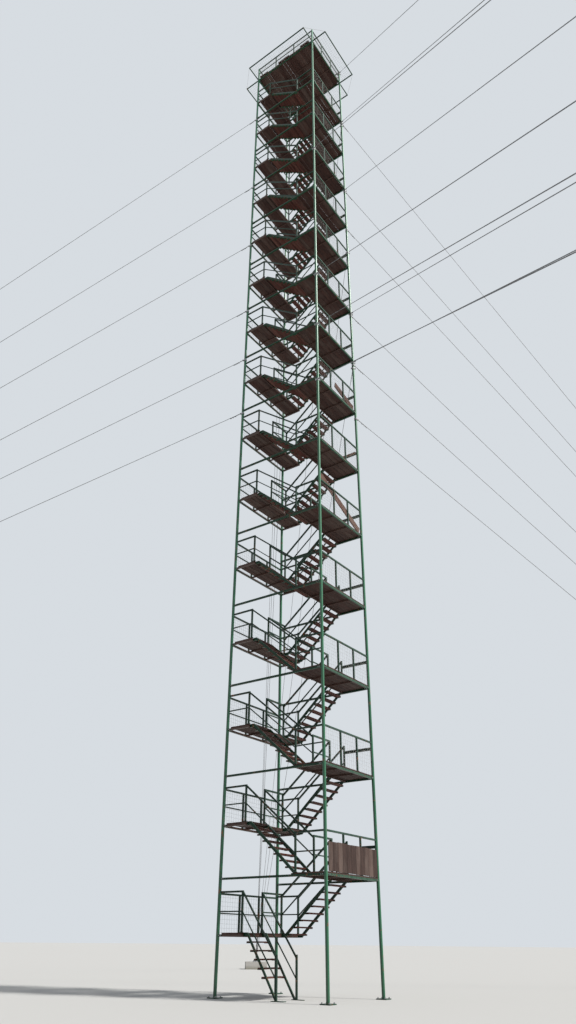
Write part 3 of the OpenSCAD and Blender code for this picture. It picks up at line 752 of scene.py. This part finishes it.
fittings, tails = bmesh.new(), bmesh.new()
for anchor, guys in GUYS:
    inward = Vector((-anchor[0] - BAY_X / 2, -anchor[1] + BAY_Y / 2, 0)).normalized()
    cross = Vector((-inward.y, inward.x, 0))
    base = Vector((*anchor, EYE_Z))
    for j, (leg, z) in enumerate(guys):
        step = EYE_STEP * (len(guys) - 1 - j)
        eye = base - inward * step + Vector((0, 0, step))
        axis = Vector((*LEGS[leg], z))
        away = (eye - axis).to_2d().to_3d().normalized()
        top = axis + away * (LEG_R + COLLAR_T + LUG_OUT)
        side = Vector((-away.y, away.x, 0))
        u = (eye - top).normalized()
        up = side.cross(u)
        for way in (-1, 1):
            ear = axis + side * way * (LEG_R + COLLAR_T + EAR_OUT)
            plate(fittings, ear, (EAR_L, EAR_T, EAR_H), math.atan2(side.y, side.x))
            for end in (-1, 1):
                seat = ear + side * way * EAR_BOLT + away * end * EAR_T / 2
                bolt(fittings, seat, away * end, EAR_NUT)
            bolt(fittings, top + side * way * LUG_W / 2, side * way, LUG_NUT)
            bolt(fittings, eye + cross * way * FIN_T / 2, cross * way, EYE_NUT)
            bar = up * way * SCREW_BAR_OUT
            near, far = SCREW_BARS
            rod(fittings, eye - u * near + bar, eye - u * far + bar, SCREW_BAR_R, 8)
        for near, far in SCREW_ENDS:
            rod(fittings, eye - u * near, eye - u * far, SCREW_END_R, 12)
        for near, far in LOCKNUTS:
            rod(fittings, eye - u * near, eye - u * far, LOCKNUT_R, 6)
        clips(fittings, tails, eye - u * (SCREW_L + CLIP_OUT), -u, up, CLIPS)
        clips(fittings, tails, top + u * (SOCKET_L + CLIP_OUT), u, up, CLIPS)
    length = EYE_STEP * (len(guys) - 1)
    rows = (-length - BASE_MARGIN + BASE_BOLT, -length / 2, 2 * BASE_MARGIN - BASE_BOLT)
    for along in rows:
        for across in (-BASE_W / 2 + BASE_BOLT, BASE_W / 2 - BASE_BOLT):
            seat = Vector((*anchor, BLOCK_H + BASE_T)) + inward * along + cross * across
            bolt(fittings, seat, (0, 0, 1), BASE_NUT)
piece("guy_fittings", fittings, zinc, "fittings")
piece("guy_tails", tails, strand, "cable")

# The stage: floor, surroundings, sun and camera
FLOOR_HALF, FLOOR_DROP = 400, 0.0005
bm = bmesh.new()
bmesh.ops.create_grid(bm, x_segments=1, y_segments=1, size=FLOOR_HALF,
    matrix=Matrix.Translation((0, 0, -FLOOR_DROP)))
mesh = bpy.data.meshes.new("floor")
bm.to_mesh(mesh)
bm.free()
floor = bpy.data.objects.new("floor", mesh)
bpy.context.scene.collection.objects.link(floor)
s = Shade("pale floor", specular=0.1)
mesh.materials.append(s.finish((0.62, 0.62, 0.61, 1), 0.9))

# The camera and clear or glossy surfaces see the backdrop, all else is lit by the surround
world = bpy.data.worlds.new("pale surroundings")
bpy.context.scene.world = world
world.use_nodes = True
tree = world.node_tree
tree.nodes.clear()
surround = tree.nodes.new("ShaderNodeBackground")
surround.inputs["Color"].default_value = (0.90, 0.94, 1.0, 1)
surround.inputs["Strength"].default_value = 0.36
backdrop = tree.nodes.new("ShaderNodeBackground")
backdrop.inputs["Color"].default_value = (0.68, 0.72, 0.76, 1)
path = tree.nodes.new("ShaderNodeLightPath")
seen = path.outputs["Is Camera Ray"]
for ray in ("Is Glossy Ray", "Is Transmission Ray"):
    either = tree.nodes.new("ShaderNodeMath")
    either.operation = "MAXIMUM"
    tree.links.new(seen, either.inputs[0])
    tree.links.new(path.outputs[ray], either.inputs[1])
    seen = either.outputs[0]
mixed = tree.nodes.new("ShaderNodeMixShader")
output = tree.nodes.new("ShaderNodeOutputWorld")
tree.links.new(seen, mixed.inputs[0])
tree.links.new(surround.outputs[0], mixed.inputs[1])
tree.links.new(backdrop.outputs[0], mixed.inputs[2])
tree.links.new(mixed.outputs[0], output.inputs[0])

sun = bpy.data.lights.new("sun", "SUN")
sun.energy = 3.5
sun.angle = math.radians(6)
sun.color = (1.0, 0.97, 0.92)
lamp = bpy.data.objects.new("sun", sun)
lamp.rotation_euler = (math.radians(43), 0, math.radians(104))
bpy.context.scene.collection.objects.link(lamp)

# The camera as fitted to the photo: its place, its angles in radians and its lens in pixels
EYE = (5.84434651, -8.98757619, 0.637320193)
HEADING, PITCH, ROLL = 0.626501535, 0.528154562, 0.00862
FOCAL_PIXELS, PHOTO_PIXELS, SENSOR_MM = 739.589, 1024, 36
right = Vector((math.cos(HEADING), math.sin(HEADING), 0))
level = math.cos(PITCH)
ahead = Vector((-math.sin(HEADING) * level, math.cos(HEADING) * level, math.sin(PITCH)))
up = right.cross(ahead)
x_axis = math.cos(ROLL) * right + math.sin(ROLL) * up
y_axis = math.cos(ROLL) * up - math.sin(ROLL) * right
camera = bpy.data.objects.new("camera", bpy.data.cameras.new("camera"))
bpy.context.scene.collection.objects.link(camera)
turn = Matrix((x_axis, y_axis, -ahead)).transposed().to_4x4()
camera.matrix_world = Matrix.Translation(EYE) @ turn
camera.data.sensor_width = SENSOR_MM
camera.data.lens = FOCAL_PIXELS / PHOTO_PIXELS * SENSOR_MM
camera.data.clip_end = 600
bpy.context.scene.camera = camera
bpy.context.scene.view_settings.view_transform = "Standard"
